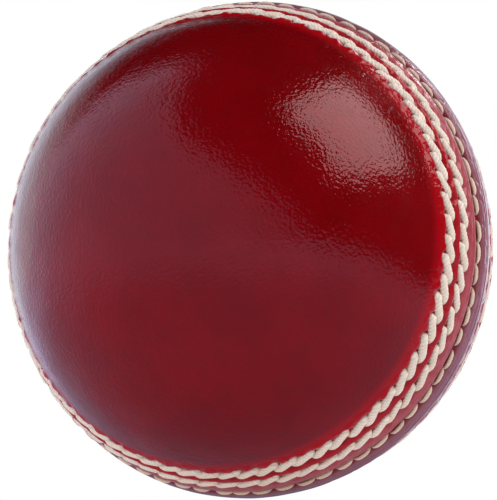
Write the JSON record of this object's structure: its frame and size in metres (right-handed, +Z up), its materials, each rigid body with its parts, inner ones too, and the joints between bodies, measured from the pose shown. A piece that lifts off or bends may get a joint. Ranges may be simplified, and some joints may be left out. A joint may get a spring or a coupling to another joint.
{
  "type": "cricket ball",
  "caption": "Red leather cricket ball: a layered cork and yarn centre in a two-piece cover, closed by a raised seam with rows of cream stitches on each side of the join.",
  "frame": {"origin": "centre of the ball", "axes": "+Z up; the seam runs round Y, the front cup faces -Y and the join lies in the XZ plane"},
  "size_m": [0.0734, 0.0704, 0.0734],
  "materials": {
    "leather": "polished",
    "side_thread": "waxed",
    "closing_thread": "waxed",
    "cork": "raw",
    "yarn": "wound"
  },
  "bodies": {
    "root": {"cork_core": "cork", "inner_cork_strip_1": "cork", "inner_cork_strip_2": "cork", "inner_cork_strip_3": "cork", "inner_cork_strip_4": "cork", "inner_cork_strip_5": "cork", "inner_cork_strip_6": "cork", "outer_cork_strip_1": "cork", "outer_cork_strip_2": "cork", "outer_cork_strip_3": "cork", "outer_cork_strip_4": "cork", "outer_cork_strip_5": "cork", "outer_cork_strip_6": "cork", "inner_winding": "yarn", "middle_winding": "yarn", "outer_winding": "yarn", "front_leather_cup": "leather", "back_leather_cup": "leather", "front_outer_stitch_row": "side_thread", "front_middle_stitch_row": "side_thread", "back_outer_stitch_row": "side_thread", "back_middle_stitch_row": "side_thread", "front_closing_stitch_row": "closing_thread", "back_closing_stitch_row": "closing_thread"}
  },
  "joints": []
}
